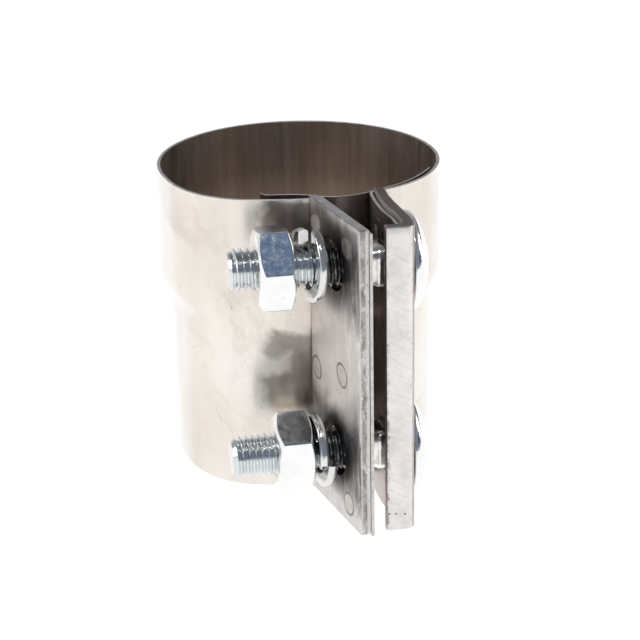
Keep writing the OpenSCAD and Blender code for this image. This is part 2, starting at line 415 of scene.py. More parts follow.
def flat_bar_steel():
    s = metal("flat_bar_mill_steel")
    color, big, mottle = mill_scale(s, dark_red=0.36, middle_red=0.50)
    pale_share = 0.42
    color = s.mix(pale_share, color, (0.96, 0.92, 0.89))
    # painted shade and reflection of the nuts and washers: darker round where the two nuts sit, on
    # the left face only
    z = s.math("ADD", s.axis("Z"), s.remap(big, to=(-0.004, 0.004)))
    seat_shade = s.math("MAXIMUM", s.window(z, rise=(0.046, 0.056), fall=(0.070, 0.078)),
                   s.window(z, rise=(0.005, 0.011), fall=(0.023, 0.030)))
    left_face = s.remap(s.axis("X"), to=(0.93, 0), over=(0.0002, 0.0012))
    color = s.mix(s.math("MULTIPLY", seat_shade, left_face), color, (0.17, 0.155, 0.15))
    # painted shadow: dark rings round the two washers, where they shade the bar
    position = s.node("ShaderNodeTexCoord").outputs["Object"]
    seat_y = -13.2
    for z_seat in (UPPER_Z, LOWER_Z):
        radius = s.math("ADD", s.distance(position, (0, seat_y, z_seat)),
                        s.remap(big, to=(-0.0012, 0.0012)))
        color = s.stain(color, radius, to=(0.88, 0), over=(0.0068, 0.0112),
                        tint=(0.035, 0.03, 0.03))
    pits = s.noise(scale=900, detail=2, rough=0.5)
    color = s.stain(color, pits, to=(0, 0.8), over=(0.70, 0.76), tint=(0.10, 0.085, 0.08))
    # pale flakes near the front edge
    flakes = s.noise(scale=340, stretch=(1, 1, 0.22), detail=5, rough=0.7, distort=0.8)
    edge = s.remap(s.axis("Y"), to=(0.75, 0), over=(-0.0250, -0.0165))
    flakes = s.math("MULTIPLY", edge, s.remap(flakes, to=(0, 0.65), over=(0.50, 0.62)))
    color = s.mix(flakes, color, (0.93, 0.91, 0.895))
    lines = s.noise(scale=520, stretch=(1, 1, 0.05), detail=3)
    color = s.stain(color, lines, to=(0, 0.30), over=(0.60, 0.78), tint=(0.85, 0.82, 0.80))
    return finish_mill_scale(s, color, big, mottle)


def angle_bar_steel():
    s = metal("angle_bar_mill_steel")
    color, big, mottle = mill_scale(s, dark_red=0.41, middle_red=0.54)
    # brown tint towards the band
    color = s.stain(color, s.axis("Y"), to=(0, 0.75), over=(-0.0345, -0.0290),
                    tint=(0.30, 0.20, 0.155))
    return finish_mill_scale(s, color, big, mottle)


def lip_front():
    """Bright front of the angle bar's lip: pale scale, scratches, three pits near the foot."""
    s = metal("lip_front_pale_steel")
    color = s.ramp(s.noise(scale=110, stretch=(1, 1, 0.8), detail=5, distort=0.3),
                   [(0.28, (0.72, 0.685, 0.66)), (0.50, (0.86, 0.83, 0.81)),
                    (0.75, (0.96, 0.94, 0.93))])
    scratches = s.noise(scale=900, stretch=(0.16, 1, 1.5), detail=3, distort=0.5,
                        turn=(0, math.radians(28), 0))
    color = s.stain(color, scratches, to=(0, 0.34), over=(0.52, 0.74), tint=(0.50, 0.455, 0.43))
    fine = s.noise(scale=700, detail=6, rough=0.7)
    color = s.stain(color, fine, to=(0, 0.25), over=(0.54, 0.74), tint=(0.42, 0.39, 0.37))
    specks = s.noise(scale=1000, detail=2, rough=0.5)
    color = s.stain(color, specks, to=(0, 0.7), over=(0.70, 0.77), tint=(0.22, 0.19, 0.175))
    # ragged dark left edge, fading upwards
    ragged = s.remap(s.noise(scale=420, rough=0.7), to=(-0.0007, 0.0007))
    edge = s.remap(s.math("ADD", s.axis("X"), ragged), to=(0.75, 0), over=(0.00930, 0.00985))
    fading = s.remap(s.axis("Z"), to=(1, 0.35), over=(0.030, 0.050))
    color = s.mix(s.math("MULTIPLY", edge, fading), color, (0.24, 0.205, 0.19))
    position = s.node("ShaderNodeTexCoord").outputs["Object"]
    for x, z in ((9.75, 5.0), (11.35, 4.85), (13.4, 4.65)):
        color = s.stain(color, s.distance(position, (x, LIP_FRONT_Y, z)), to=(0.85, 0),
                        over=(0.00016, 0.00034), tint=(0.10, 0.08, 0.07))
    s.finish(color, s.remap(fine, to=(0.30, 0.48)))
    s.bump(fine, distance=0.00008, strength=0.4)
    return s.owner


def angle_bar_end():
    """Sawn top of the angle bar, dull grey brown, browner towards the band."""
    s = metal("angle_bar_sawn_end")
    grain = s.noise(scale=420, stretch=(0.5, 1, 1), detail=6, rough=0.7)
    color = s.ramp(grain, [(0.3, (0.17, 0.145, 0.13)), (0.6, (0.27, 0.235, 0.215)),
                           (0.8, (0.42, 0.39, 0.37))])
    color = s.stain(color, s.axis("Y"), to=(0, 0.8), over=(-0.0370, -0.0310),
                    tint=(0.20, 0.125, 0.085))
    s.finish(color, roughness=0.5)
    s.bump(grain, distance=0.0002, strength=0.5)
    return s.owner


def sheared_edge():
    """Sheared edge of a bar: a smooth stripe and a rough torn stripe along its length."""
    s = metal("sheared_bar_edge")
    x = s.axis("X")
    torn = s.noise(scale=520, stretch=(1, 1, 0.45), detail=7, rough=0.75, distort=0.5)
    light = s.ramp(torn, [(0.3, (0.62, 0.58, 0.56)), (0.7, (0.80, 0.77, 0.75))])
    dark = s.ramp(torn, [(0.36, (0.22, 0.195, 0.19)), (0.50, (0.46, 0.43, 0.41)),
                         (0.66, (0.78, 0.75, 0.73))])
    stripe = s.ramp(s.remap(x, to=(0, 1), over=(0, 0.0025)),
                    [(0.10, (0, 0, 0)), (0.22, (1, 1, 1)), (0.56, (1, 1, 1)), (0.68, (0, 0, 0))])
    color = s.mix(stripe, light, dark)
    flakes = s.noise(scale=760, stretch=(1, 1, 0.5), detail=5, rough=0.7, distort=0.8)
    color = s.stain(color, flakes, to=(0, 0.85), over=(0.56, 0.66), tint=(0.98, 0.97, 0.96))
    pits = s.noise(scale=640, stretch=(1, 1, 0.8), rough=0.7)
    color = s.stain(color, pits, to=(0, 0.6), over=(0.60, 0.70), tint=(0.12, 0.10, 0.095))
    s.finish(color, s.remap(torn, to=(0.36, 0.55)))
    s.bump(torn, distance=0.00035, strength=0.6)
    return s.owner


def zinc(name, base, roughness):
    s = metal(name)
    cloud = s.noise(scale=160, rough=0.55)
    red, green, blue = base
    color = s.ramp(cloud, [(0.3, tuple(c * 0.93 for c in base)), (0.6, base),
                           (0.75, (red * 1.03, green * 1.02, blue * 0.98))])
    pits = s.noise(scale=1100, detail=3)
    color = s.stain(color, pits, to=(0, 0.35), over=(0.60, 0.78), tint=(0.50, 0.52, 0.54))
    s.finish(color, s.remap(cloud, to=roughness))
    s.bump(pits, distance=0.00005, strength=0.35)
    s.bump(s.noise(scale=420), distance=0.0004, strength=0.14)
    return s.owner


def zinc_facet_painted_reflection(name, cool, pale):
    """A wrench flat coloured as a painted reflection, mottled from cool to pale, with fine pale
    nicks of real wear.
    """
    s = metal(name)
    mottle = s.noise(scale=620, detail=5, rough=0.65, distort=0.4)
    middle = tuple((a + b) / 2 for a, b in zip(cool, pale))
    color = s.ramp(mottle, [(0.34, cool), (0.52, middle), (0.68, pale)])
    nicks = s.noise(scale=1500, detail=3, distort=1.2)
    worn = s.remap(nicks, to=(0, 0.55), over=(0.64, 0.76))
    color = s.mix(worn, color, (1.0, 1.0, 0.98))
    worn_roughness = 0.30
    s.finish(color, s.math("ADD", s.remap(mottle, to=(0.12, 0.24)),
                           s.math("MULTIPLY", worn, worn_roughness)))
    s.bump(nicks, distance=0.00005, strength=0.35)
    s.bump(mottle, distance=0.0003, strength=0.10)
    return s.owner


def spot_weld():
    """Dished spot weld with a thin, broken dark ring round it."""
    s = metal("spot_weld_steel")
    ring_place = s.node("ShaderNodeAttribute", attribute_name="ring").outputs["Fac"]
    grain = s.noise(scale=500, detail=5, rough=0.65)
    base = s.ramp(grain, [(0.3, (0.52, 0.48, 0.455)), (0.7, (0.72, 0.68, 0.655))])
    ring = s.ramp(ring_place, [(0.76, (0, 0, 0)), (0.85, (1, 1, 1)), (0.93, (1, 1, 1)),
                               (1.0, (0.45, 0.45, 0.45))])
    ring = s.stain(ring, s.noise(scale=260, detail=3), to=(0, 0.55), over=(0.44, 0.66),
                   tint=(0.05, 0.05, 0.05))
    s.finish(s.mix(ring, base, (0.20, 0.155, 0.13)), s.remap(grain, to=(0.36, 0.5)))
    s.bump(grain, distance=0.00012, strength=0.4)
    return s.owner


LIP_FRONT_Y = -57.95

BAND_OUTSIDE = band_outside()
BAND_INSIDE = band_inside()
SHEET_EDGE = plain_steel(
    "cut_sheet_edge", dict(scale=500),
    [(0.3, (0.50, 0.47, 0.45)), (0.7, (0.80, 0.78, 0.76))], roughness=0.38, bump=0.0001)
STRIP_STEEL = plain_steel(
    "bridging_strip_steel", dict(scale=420, stretch=(1, 1, 0.06), detail=5),
    [(0.3, (0.30, 0.26, 0.24)), (0.7, (0.44, 0.38, 0.35))], roughness=(0.30, 0.42), bump=0.00006)
FLAT_STEEL = flat_bar_steel()
LIP_STEEL = lip_front()
ANGLE_END = angle_bar_end()
EAR_STEEL = plain_steel(            # faces of the ears across the gap
    "ear_gap_side_steel", dict(scale=300, stretch=(1, 1, 0.25), detail=5),
    [(0.3, (0.46, 0.40, 0.36)), (0.7, (0.66, 0.59, 0.54))], roughness=(0.26, 0.40), bump=0.00008)
FLAT_END = plain_steel(
    "flat_bar_sawn_end", dict(scale=460, stretch=(0.5, 1, 1), detail=6, rough=0.7),
    [(0.3, (0.42, 0.41, 0.41)), (0.6, (0.66, 0.64, 0.64)), (0.8, (0.86, 0.85, 0.85))],
    roughness=0.42, bump=0.0002, strength=0.5, metallic=0.8)
ANGLE_STEEL = angle_bar_steel()
SHEARED = sheared_edge()
ZINC = zinc("bright_zinc_plate", base=(0.975, 0.985, 0.975), roughness=(0.10, 0.20))
THREAD = zinc("zinc_rolled_thread", base=(0.78, 0.81, 0.82), roughness=(0.14, 0.26))
# painted shade: dark thread between the washer and the bar and in the slot
PAINTED_SHADE_THREAD = zinc("zinc_thread_painted_shade_in_slot", base=(0.20, 0.21, 0.21), roughness=(0.25, 0.35))
# painted reflections for the wrench flats that face up and forward
BLUE_REFLECTION_FACET = zinc_facet_painted_reflection("zinc_wrench_flat_painted_blue_reflection", cool=(0.46, 0.63, 0.98), pale=(0.84, 0.95, 1.0))
GREY_REFLECTION_FACET = zinc_facet_painted_reflection("zinc_wrench_flat_painted_grey_reflection", cool=(0.36, 0.375, 0.40),
                        pale=(0.62, 0.64, 0.66))
SPRING_ZINC = zinc("zinc_spring_washer", base=(0.82, 0.83, 0.82), roughness=(0.12, 0.22))
WELD_STEEL = spot_weld()


# --------------------------------------------------------------- the band
# Angles are in degrees from -Y, positive towards +X.
# Columns: angle, outer radius of the band above its step.
LEFT_RADII = [
    (-180, 34.05), (-150, 34.05), (-120, 33.95), (-100, 33.80), (-88, 33.75), (-76.5, 33.90),
    (-68, 34.35), (-61, 34.70), (-49.6, 34.80), (-40.7, 34.30), (-32.6, 33.60), (-26.9, 32.80),
    (-20.9, 32.20), (-14.9, 31.85), (-8.8, 31.50), (-4.5, 31.32), (0.0, 31.26)]
RIGHT_RADII = [
    (20, 31.60), (25, 31.95), (29.6, 32.40), (35.9, 33.00), (41.4, 33.40), (48.1, 33.70),
    (56.4, 33.95), (63.8, 34.05), (77.6, 34.25), (100, 34.20), (130, 34.10), (155, 34.05),
    (180, 34.05), (210, 34.05), (240, 33.95), (260, 33.80)]
# Columns: y, x of the middle of the right ear's sheet.
RIGHT_EAR = [(-55.0, 12.98), (-52.5, 12.90), (-48.7, 12.66), (-45.6, 12.22), (-42.6, 11.82),
             (-38.0, 11.60), (-33.0, 11.66), (-29.5, 11.88), (-20.0, 11.95)]
RIGHT_ROOT_X = 11.95
# Columns: angle, inner radius of the bridging strip above the step.
STRIP_RADII = [
    (-28, 27.05), (-24.7, 27.05), (-18.5, 26.35), (-13.6, 26.10), (-9.0, 26.30), (-4.7, 26.90),
    (2.8, 28.80), (8.9, 29.85), (15.6, 30.15), (20.0, 30.12), (24.0, 30.10), (32, 30.10),
    (41, 30.60), (48, 30.90), (57.5, 31.35), (69, 32.15)]
STEP_DEPTH = 2.6        # how much smaller the radius is below the step
EAR_POINTS = 44
FILLET_POINTS = 7
EAR_FACES = EAR_POINTS + 2      # columns of faces counted as ear


def step_in(z, start=39.3, rise=7.4):
    return STEP_DEPTH * (1 - smooth_step((z - start) / rise))


def step_in_left(angle, z):
    """On the left the step spreads over a greater height towards the ear's root."""
    near_root = smooth_step((np.asarray(angle, float) + 48) / 30)
    return step_in(z) * (1 - near_root) + step_in(z, start=25.0, rise=21.7) * near_root


def left_radius(angle, z):
    return curve_through(LEFT_RADII, angle) - BAND_THICK / 2 - step_in_left(angle, z)


def right_radius(angle, z):
    return curve_through(RIGHT_RADII, angle) - BAND_THICK / 2 - step_in(z)


def sheet_rows(edges, low, step, high):
    """Heights of a sheet's rows: close at both rims and across the step."""
    bottom, top, roll = edges
    return np.array([bottom, bottom + roll] + list(np.arange(2, 38.1, step))
                    + list(np.arange(38.6, 48.3, 0.6)) + list(np.arange(low, high, step))
                    + [top - roll, top])


def thinned_rims(rows, factor):
    """Share of the full thickness at each row, less at the two rims."""
    share = np.ones(len(rows))
    share[0] = share[-1] = factor
    return share


def bezier(start, corner, end, count):
    t = np.linspace(0, 1, count + 2)[1:-1, None]
    return (1 - t) ** 2 * start + 2 * t * (1 - t) * corner + t**2 * end


def direction(angle):
    angle = np.radians(angle)
    return np.stack([np.sin(angle), -np.cos(angle)], -1)


def right_path(z):
    """Middle of the sheet from the right ear's front end, round the back, to -100 degrees."""
    root_radius = float(right_radius(23.0, z))
    root_y = -math.sqrt(root_radius**2 - RIGHT_ROOT_X**2)
    corner = np.array([RIGHT_ROOT_X, root_y])
    fillet = 1.5
    ear_y = np.linspace(-55.0, root_y - fillet, EAR_POINTS)
    ear = np.stack([curve_through(RIGHT_EAR, ear_y), ear_y], 1)
    root_angle = math.degrees(math.atan2(RIGHT_ROOT_X, -root_y))
    start = root_angle + math.degrees(fillet / root_radius)
    angle = np.concatenate([np.linspace(start, 259.8, 250), [260.0]])
    arc = direction(angle) * right_radius(angle, z)[:, None]
    return np.concatenate([ear, bezier(ear[-1], corner, arc[0], FILLET_POINTS), arc])


def left_path(z):
    """Middle of the sheet from -100 degrees to the left root and out along the left ear."""
    outward = np.array([math.sin(FLAT_TURN), -math.cos(FLAT_TURN)])
    sideways = np.array([math.cos(FLAT_TURN), math.sin(FLAT_TURN)])
    ear_offset = 2.56       # from the bar's left face to the ear's left face
    base = np.array(FLAT_ORIGIN) + sideways * (ear_offset + BAND_THICK / 2)
    root_radius = float(left_radius(0.0, z))
    # where the ear's line crosses the circle of the root
    half_b = base @ outward
    rest = base @ base - root_radius**2
    root_along = -half_b + math.sqrt(half_b * half_b - rest)
    corner = base + outward * root_along
    fillet = 1.35
    root_angle = math.degrees(math.atan2(corner[0], -corner[1]))
    end = root_angle - math.degrees(fillet / root_radius)
    angle = np.concatenate([[-100.0], np.linspace(-99.8, end, 120)])
    arc = direction(angle) * left_radius(np.minimum(angle, 0.0), z)[:, None]
    along = np.linspace(root_along + fillet, FLAT_LENGTH, EAR_POINTS)
    ear = base + along[:, None] * outward
    return np.concatenate([arc, bezier(arc[-1], corner, ear[0], FILLET_POINTS), ear])


def sheet(name, paths, rows, share, thick, bow, materials, z_shift=0.0, ear=None):
    """Closed sheet from a middle line per row, pushed outwards by `bow`, rims thinned.

    Face materials: 0 outside, 1 inside, 2 edges, 3 inside of the columns in `ear`.
    """
    middle = np.array(paths)
    row_count, col_count = middle.shape[:2]
    tangent = np.gradient(middle, axis=1)
    tangent /= np.linalg.norm(tangent, axis=2, keepdims=True)
    normal = np.stack([tangent[..., 1], -tangent[..., 0]], -1)
    middle = middle + normal * bow[..., None]
    half = thick / 2 * share[:, None, None]
    height = (np.repeat(rows[:, None], col_count, 1) + z_shift)[..., None]
    outer = np.concatenate([middle + normal * half, height], -1).reshape(-1, 3)
    inner = np.concatenate([middle - normal * half, height], -1).reshape(-1, 3)
    layer = row_count * col_count
    index = np.arange(layer).reshape(row_count, col_count)
    quads = np.stack([index[:-1, :-1], index[:-1, 1:], index[1:, 1:], index[1:, :-1]], -1)
    outside = np.zeros((row_count - 1, col_count - 1), int)
    outside[0, :] = outside[-1, :] = 2
    inside = np.where(outside == 2, 2, 1)
    if ear is not None:
        inside[1:-1, ear] = 3
    faces = quads.reshape(-1, 4).tolist() + (quads[..., ::-1] + layer).reshape(-1, 4).tolist()
    face_materials = outside.reshape(-1).tolist() + inside.reshape(-1).tolist()
    borders = ((index[0], True), (index[-1], False), (index[:, 0], False), (index[:, -1], False))
    for line, flip in borders:
        side = np.stack([line[:-1], line[1:], line[1:] + layer, line[:-1] + layer], -1)
        faces += (side[:, ::-1] if flip else side).tolist()
        face_materials += [2] * len(side)
    return make(name, np.concatenate([outer, inner]), faces, materials, face_materials,
                sharp=SHEET_SHARP)


def vertex_angles(ob):
    points = np.array([v.co for v in ob.data.vertices], float)
    return np.degrees(np.arctan2(points[:, 0], -points[:, 1]))


def set_blend(ob):
    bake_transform(ob)


def blend_right(ob):
    angle = vertex_angles(ob)
    angle = np.where(angle < -99.0, angle + 360, angle)
    set_blend(ob)


def blend_left(ob):
    set_blend(ob)


def band_sheets():
    """The two sheets of the band, gently waved away from their ends and ears."""
    rows = sheet_rows((0.0, BAND_HEIGHT, 0.10), low=49.5, step=2.0, high=71.6)
    share = thinned_rims(rows, 0.70)
    materials = [BAND_OUTSIDE, BAND_INSIDE, SHEET_EDGE, EAR_STEEL]

    paths = [right_path(z) for z in rows]
    along = np.linspace(0, 1, len(paths[0]))[None, :]
    size = 0.055 * smooth_step((along - 0.20) / 0.08) * smooth_step((0.97 - along) / 0.05)
    bow = size * wave(along * 40, rows[:, None] / 9.0, seed=11)
    right = sheet("band_right_and_back_sheet", paths, rows, share, BAND_THICK, bow, materials,
                  ear=slice(0, EAR_FACES))
    blend_right(right)

    paths = [left_path(z) for z in rows]
    along = np.linspace(0, 1, len(paths[0]))[None, :]
    size = 0.06 * smooth_step((along - 0.04) / 0.08) * smooth_step((0.62 - along) / 0.10)
    bow = size * wave(along * 22, rows[:, None] / 9.0, seed=5)
    left = sheet("band_left_sheet", paths, rows, share, BAND_THICK, bow, materials,
                 ear=slice(-EAR_FACES, None))
    blend_left(left)

    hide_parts("band_right_half")
    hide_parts("band_left_half", "band_left_ear")
    return right, left


def strip_path(z):
    angle = np.linspace(-28, 66.5, 130)
    radius = curve_through(STRIP_RADII, angle) + STRIP_THICK / 2 - step_in(z)
    return direction(angle) * radius[:, None]


def bridging_strip():
    """Strip inside the band across the gap; its free left end curls a little."""
    rows = sheet_rows((0.5, 72.4, 0.08), low=50, step=3.0, high=71.0)
    paths = [strip_path(z) for z in rows]
    along = np.linspace(0, 1, len(paths[0]))[None, :]
    height = rows[:, None]
    curl = np.maximum(0, 1 - along / 0.035) ** 2
    near_rims = smooth_step((np.abs(height - 36) - 20) / 15)
    z_shift = curl * np.where(height > 60, 0.35, -0.1) * near_rims
    bow = 0.03 * wave(along * 18, height / 8, seed=3) - 0.15 * curl
    strip = sheet("bridging_strip_sheet", paths, rows, thinned_rims(rows, 0.6), STRIP_THICK, bow,
                  [STRIP_STEEL, STRIP_STEEL, SHEET_EDGE], z_shift)
    attach(strip, "fixed_side", "seal_strip")


right_sheet, left_sheet = band_sheets()
bridging_strip()


# ---------------------------------------------------- bars and bolt holes
def round_corners(points, radii, count):
    """Polygon with each corner replaced by a curve of `count` points."""
    out = []
    for i, radius in enumerate(radii):
        corner = np.array(points[i], float)
        to_last = np.array(points[i - 1], float) - corner
        to_next = np.array(points[(i + 1) % len(points)], float) - corner
        last_length = np.linalg.norm(to_last)
        next_length = np.linalg.norm(to_next)
        to_last, to_next = to_last / last_length, to_next / next_length
        angle = math.acos(max(-1, min(1, to_last @ to_next)))
        reach = min(radius / math.tan(angle / 2), last_length * 0.49, next_length * 0.49)
        start, end = corner + to_last * reach, corner + to_next * reach
        for t in np.linspace(0, 1, count):
            out.append((1 - t) ** 2 * start + 2 * t * (1 - t) * corner + t**2 * end)
    return np.array(out)


def resample(outline, step=1.1):
    out = []
    for start, end in zip(outline, np.roll(outline, -1, 0)):
        count = max(1, int(round(np.linalg.norm(end - start) / step)))
        for j in range(count):
            out.append(start + (end - start) * j / count)
    return np.array(out)


def extrude(name, outline, top_z, materials, is_front, bevel, seed, unevenness, matrix=None):
    """Bar from a counter-clockwise outline: bevelled ends, faintly uneven sides.

    Face materials: 0 sides and bottom, 1 where is_front(midpoint, normal), 2 top.
    """
    rows = 40
    count = len(outline)
    ahead = np.roll(outline, -1, 0)
    edge = ahead - outline
    length = np.linalg.norm(edge, axis=1)
    edge_normal = np.stack([edge[:, 1], -edge[:, 0]], 1)
    edge_normal /= np.maximum(np.linalg.norm(edge_normal, axis=1, keepdims=True), 1e-9)
    normal = edge_normal + np.roll(edge_normal, 1, 0)
    normal /= np.maximum(np.linalg.norm(normal, axis=1, keepdims=True), 1e-9)
    # bevel profile: distance from the end, inset from the side
    first = 0.06 * bevel / 0.22
    rise = [0, first, bevel * 0.45, bevel]
    inset = [bevel, bevel * 0.55, bevel * 0.18, 0]
    heights = ([BAR_BOTTOM + r for r in rise]
               + list(np.linspace(BAR_BOTTOM, top_z, rows)[1:-1])
               + [top_z - r for r in rise[::-1]])
    insets = inset + [0] * (rows - 2) + inset[::-1]
    around = np.concatenate([[0], np.cumsum(length)])
    turn = 2 * math.pi * around[:-1] / around[-1]
    verts = []
    for z, depth in zip(heights, insets):
        uneven = unevenness * wave(np.sin(turn) * 9 + np.cos(turn) * 7, z / 5.5, seed, terms=8)
        verts.append(np.column_stack([outline + normal * (uneven - depth)[:, None],
                                      np.full(count, z)]))
    index = np.arange(len(heights) * count).reshape(len(heights), count)
    faces = []
    face_materials = []
    for i in range(len(heights) - 1):
        for j in range(count):
            k = (j + 1) % count
            faces.append((index[i, j], index[i, k], index[i + 1, k], index[i + 1, j]))
            face_materials.append(int(is_front((outline[j] + outline[k]) / 2, edge_normal[j])))
    faces += [tuple(index[0][::-1]), tuple(index[-1])]
    face_materials += [0, 2]
    return make(name, np.concatenate(verts), faces, materials, face_materials,
                sharp=BAR_SHARP, matrix=matrix)


def slot_outline(height, half_travel, steps=24):
    """Stadium, long in Y, as (y, z) about the bolt's axis."""
    radius = height / 2
    out = []
    for centre, start in ((half_travel, -math.pi / 2), (-half_travel, math.pi / 2)):
        for k in range(steps + 1):
            angle = start + math.pi * k / steps
            out.append((centre + radius * math.cos(angle), radius * math.sin(angle)))
    return out


def box_outline(width, height):
    """Rectangle with rounded corners, as (y, z) about the bolt's axis."""
    y, z = width / 2, height / 2
    return round_corners([(-y, -z), (y, -z), (y, z), (-y, z)], [0.6] * 4, 5)


def cut_bolt_holes(ob, outline, x_range, sharp):
    """Cuts one outline at both bolts, between two x positions."""
    count = len(outline)
    sides = [(i, (i + 1) % count, count + (i + 1) % count, count + i) for i in range(count)]
    ends = [tuple(range(count))[::-1], tuple(range(count, 2 * count))]
    cutters = []
    for bolt_z in (LOWER_Z, UPPER_Z):
        verts = [(x, BOLT_Y + y, bolt_z + z) for x in x_range for y, z in outline]
        cutters.append(make("cutter", verts, sides + ends))
    cut(ob, cutters, sharp)


# Flat bar outline: x through its thickness, y minus the distance from the band.
FLAT_CORNERS = [(0.0, -FLAT_LENGTH), (2.5, -FLAT_LENGTH), (2.5, -1.5), (1.5, -0.35),
                (0.0, -0.12)]
FLAT_CORNER_RADII = [0.42, 0.30, 0.35, 0.5, 0.35]

# Angle bar outline in x, y: an S-bent leg and a lip turned towards the flat bar.
LEG_LEFT = [(13.40, -54.30), (13.48, -52.5), (13.32, -48.9), (12.85, -45.7), (12.42, -42.6),
            (12.22, -38.3), (12.38, -33.0), (12.62, -29.6)]
LEG_BACK = [(12.80, -28.95), (13.35, -28.55), (14.05, -28.50), (14.72, -28.85)]
LEG_RIGHT = [(15.02, -29.7), (15.00, -32.2), (14.88, -35.8), (15.15, -40.0), (15.48, -43.7),
             (15.82, -47.4), (16.16, -50.7), (16.22, -53.6), (16.10, -55.4)]
LIP_BEND = [(15.72, -56.75), (14.95, -57.55), (13.80, -57.92)]
LIP = [(9.85, LIP_FRONT_Y), (9.38, -57.75), (9.20, -57.2), (9.18, -56.2), (9.30, -55.5),
       (9.65, -55.15), (12.20, -55.42), (12.95, -55.28)]


def catmull(points, steps=3):
    """Catmull-Rom curve through the points."""
    p = np.array(points, float)
    p = np.vstack([2 * p[0] - p[1], p, 2 * p[-1] - p[-2]])
    out = []
    for i in range(1, len(p) - 2):
        before, start, end, after = p[i - 1:i + 3]
        for t in np.linspace(0, 1, steps, endpoint=False):
            out.append(0.5 * (2 * start + (end - before) * t
                              + (2 * before - 5 * start + 4 * end - after) * t**2
                              + (3 * start - before - 3 * end + after) * t**3))
    out.append(p[-2])
    return out


def flat_bar():
    outline = resample(round_corners(FLAT_CORNERS, FLAT_CORNER_RADII, 6))
    bar = extrude("flat_clamp_bar", outline, 73.8, [FLAT_STEEL, SHEARED, FLAT_END],
                  lambda point, normal: normal[1] < -0.8,
                  bevel=0.26, seed=3, unevenness=0.035, matrix=FLAT_PLACE)
    cut_bolt_holes(bar, slot_outline(11.6, 1.3), (-30.0, 60.0), BAR_SHARP)
    attach(bar, "flat_bar_side", "flat_bar")


def angle_bar():
    clockwise = catmull(LEG_LEFT) + LEG_BACK + catmull(LEG_RIGHT + LIP_BEND) + LIP
    bar = extrude("angle_clamp_bar", resample(np.array(clockwise)[::-1]), 73.75,
                  [ANGLE_STEEL, LIP_STEEL, ANGLE_END],
                  lambda point, normal: normal[1] < -0.75 and point[1] < -56,
                  bevel=0.34, seed=8, unevenness=0.03)
    cut_bolt_holes(bar, box_outline(10.7, 10.6), (0.0, 60.0), BAR_SHARP)
    attach(bar, "fixed_side", "angle_bar")


flat_bar()
angle_bar()

# The ears are pierced too; cutting changes the vertices, and the sheets' transforms are baked
# again.
cut_bolt_holes(right_sheet, box_outline(13.6, 13.0), (0.0, 60.0), SHEET_SHARP)
blend_right(right_sheet)
cut_bolt_holes(left_sheet, slot_outline(12.8, 1.5), (-5.0, 12.5), SHEET_SHARP)
blend_left(left_sheet)


# ------------------------------------------------------------ spot welds
# Columns: share of the radius, height above the surface.
WELD_PROFILE = [(0.22, 0.052), (0.45, 0.048), (0.65, 0.042), (0.78, 0.034), (0.84, 0.028),
                (0.88, 0.036), (0.93, 0.036), (1.0, -0.03)]
WELD_CENTRE_HEIGHT = 0.050
WELD_UNDERSIDE = -0.18
WELD_LIFT = 0.02        # keeps the marks clear of the steel behind them


def weld_disc(across, up, radius, seed):
    """Dished disc: (across, up, height) vertices, faces and each vertex's share of radius."""
    count = 44
    phase = np.random.RandomState(seed).uniform(0, 6.28, 3)
    verts = [(across, up, WELD_CENTRE_HEIGHT)]
    shares = [0.0]
    for share, height in WELD_PROFILE:
        for k in range(count):
            t = 2 * math.pi * k / count
            wobble = 1 + 0.035 * math.sin(2 * t + phase[0]) + 0.02 * math.sin(3 * t + phase[1])
            reach = radius * share * wobble
            ripple = 0.012 * math.sin(4 * t + phase[2]) * (share < 0.9)
            verts.append((across + reach * math.cos(t), up + reach * math.sin(t),
                          height + ripple))
            shares.append(share)
    # the outer ring is repeated below to close the disc
    verts += [(a, b, WELD_UNDERSIDE) for a, b, _ in verts[-count:]]
    shares += [1.0] * count
    faces = [(0, 1 + k, 1 + (k + 1) % count) for k in range(count)]
    for i in range(len(WELD_PROFILE)):
        ring, after = 1 + i * count, 1 + (i + 1) * count
        faces += [(ring + k, after + k, after + (k + 1) % count, ring + (k + 1) % count)
                  for k in range(count)]
    faces.append(tuple(after + k for k in range(count))[::-1])
    return verts, faces, shares


def weld_set(name, discs, place, body, cad_piece, matrix=None):
    """Welds from (across, up, radius) rows, put on their surface by `place`."""
    verts, faces, shares = [], [], []
    for i, disc in enumerate(discs):
        disc_verts, disc_faces, disc_shares = weld_disc(*disc, seed=i + 1)
        offset = len(verts)
        verts += [place(*point) for point in disc_verts]
        faces += [tuple(j + offset for j in face) for face in disc_faces]
        shares += disc_shares
    ob = make(name, verts, faces, [WELD_STEEL], sharp=50, matrix=matrix)
    ring = ob.data.attributes.new("ring", "FLOAT", "POINT")
    ring.data.foreach_set("value", np.array(shares, np.float32))
    attach(ob, body, cad_piece)


def on_flat_bar(across, up, height):
    """On the left face; across is the distance from the band."""
    return (-height - WELD_LIFT, -across, up)


def on_angle_bar(across, up, height):
    """On the right face of the leg; across is y."""
    face = np.array(LEG_RIGHT[:8])
    return (float(np.interp(-across, -face[:, 1], face[:, 0])) + height + WELD_LIFT, across, up)


def on_strip(across, up, height):
    """On the bore side of the strip; across is an arc length from 33 degrees."""
    angle = 33.0 + math.degrees(across / 30.0)
    radius = (float(curve_through(STRIP_RADII, [angle])[0]) - float(step_in(up)) - height
              + WELD_LIFT)
    return (radius * math.sin(math.radians(angle)), -radius * math.cos(math.radians(angle)), up)


